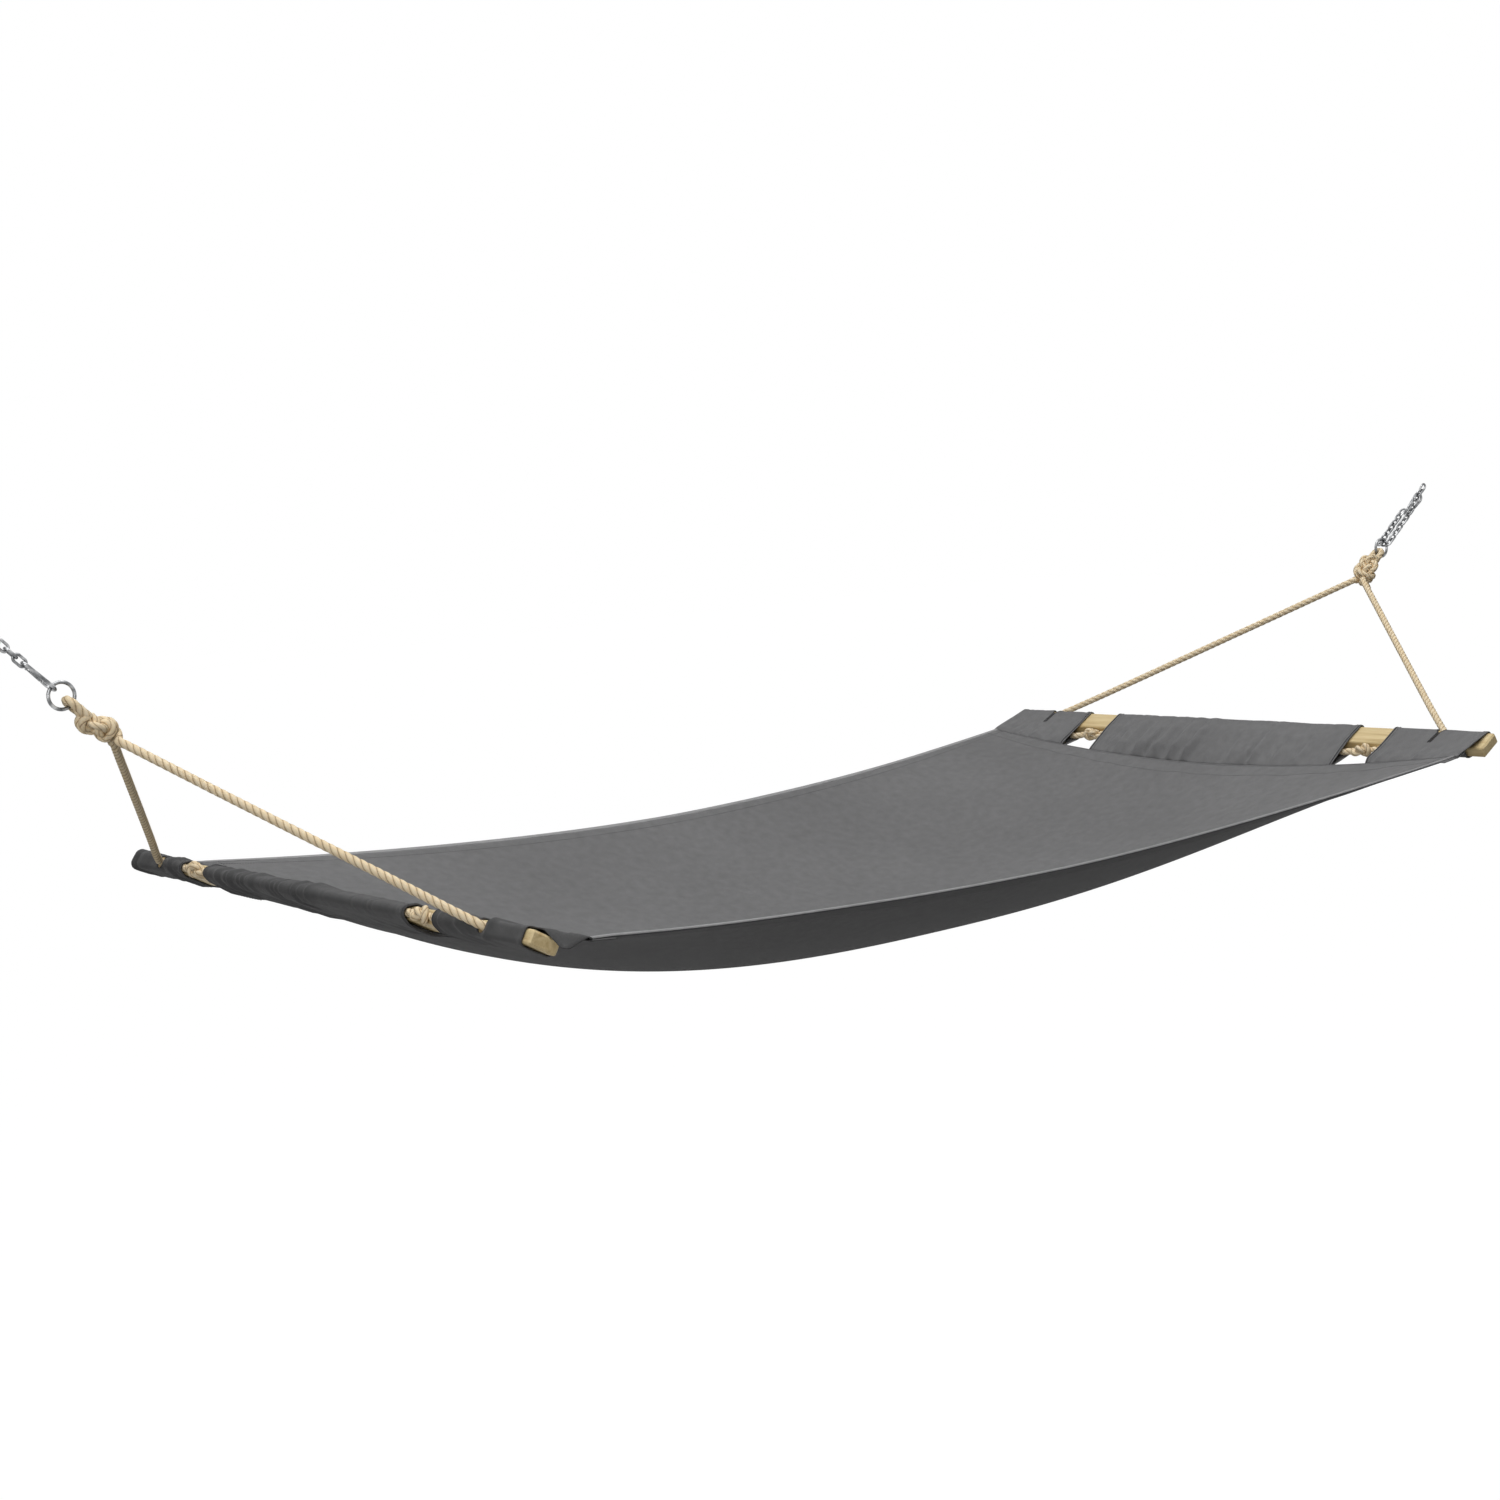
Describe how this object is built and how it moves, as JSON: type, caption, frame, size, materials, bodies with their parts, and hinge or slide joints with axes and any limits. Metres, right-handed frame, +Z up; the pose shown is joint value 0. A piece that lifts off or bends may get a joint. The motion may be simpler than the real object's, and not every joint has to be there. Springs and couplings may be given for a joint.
{
  "type": "spreader-bar hammock",
  "caption": "Canvas spreader-bar hammock: a trough-shaped bed sewn round two wooden bars, rope bridles knotted to steel rings, and short hanging chains with snap hooks.",
  "frame": {"origin": "over the middle of the bed, on the straight line between the two points where the chains hang in their end links", "axes": "+X from the left end of the bed to the right end, +Y from the near side to the far side, +Z up"},
  "size_m": [2.9888, 1.112, 0.6499],
  "materials": {
    "canvas": "matte dark grey woven canvas",
    "pale_wood": "pale hardwood, lightly oiled",
    "rope": "beige three-strand twisted rope",
    "steel": "bright zinc-plated steel wire"
  },
  "bodies": {
    "end_links": {"left_end_link": "steel", "right_end_link": "steel"},
    "hammock": {"bed_cloth": "canvas", "near_side_hem": "canvas", "far_side_hem": "canvas", "left_sleeve_far": "canvas", "left_sleeve_middle": "canvas", "left_sleeve_near": "canvas", "right_sleeve_far": "canvas", "right_sleeve_middle": "canvas", "right_sleeve_near": "canvas", "left_spreader_bar": "pale_wood", "right_spreader_bar": "pale_wood", "left_rope_bar_run": "rope", "left_rope_near_leg": "rope", "left_rope_far_leg": "rope", "left_rope_knot": "rope", "left_rope_eye": "rope", "right_rope_bar_run": "rope", "right_rope_near_leg": "rope", "right_rope_far_leg": "rope", "right_rope_knot": "rope", "right_rope_eye": "rope", "left_ring": "steel", "left_hook_body": "steel", "left_hook_gate_pin": "steel", "left_chain_link_1": "steel", "left_chain_link_2": "steel", "left_chain_link_3": "steel", "left_chain_link_4": "steel", "left_chain_link_5": "steel", "right_ring": "steel", "right_turn_link": "steel", "right_chain_link_1": "steel", "right_chain_link_2": "steel", "right_chain_link_3": "steel", "right_chain_link_4": "steel", "right_chain_link_5": "steel", "right_chain_link_6": "steel", "right_chain_link_7": "steel", "right_chain_link_8": "steel", "right_chain_link_9": "steel", "right_chain_link_10": "steel", "right_clip_link": "steel", "right_return_link_1": "steel", "right_return_link_2": "steel", "right_return_link_3": "steel", "right_return_link_4": "steel", "right_return_link_5": "steel", "right_return_link_6": "steel", "right_return_link_7": "steel", "right_hook_body": "steel", "right_hook_gate_pin": "steel"},
    "left_gate": {"left_hook_gate": "steel"},
    "right_gate": {"right_hook_gate": "steel"}
  },
  "joints": [
    {"name": "swing", "type": "hinge", "parent": "end_links", "child": "hammock", "pos_m": [0, 0, 0], "axis": [1, 0, 0], "range_deg": [-22, 22]},
    {"name": "left_gate_hinge", "type": "hinge", "parent": "hammock", "child": "left_gate", "pos_m": [-1.33234, 0.0056, -0.05785], "axis": [-0.7082, 0, -0.706], "range_deg": [0, 25], "stiffness_Nm_per_rad": 0.1, "springref_deg": -8.59},
    {"name": "right_gate_hinge", "type": "hinge", "parent": "hammock", "child": "right_gate", "pos_m": [1.53212, 0.00775, -0.03532], "axis": [-0.1403, -0.9841, -0.1092], "range_deg": [0, 14], "stiffness_Nm_per_rad": 0.1, "springref_deg": -8.59}
  ]
}
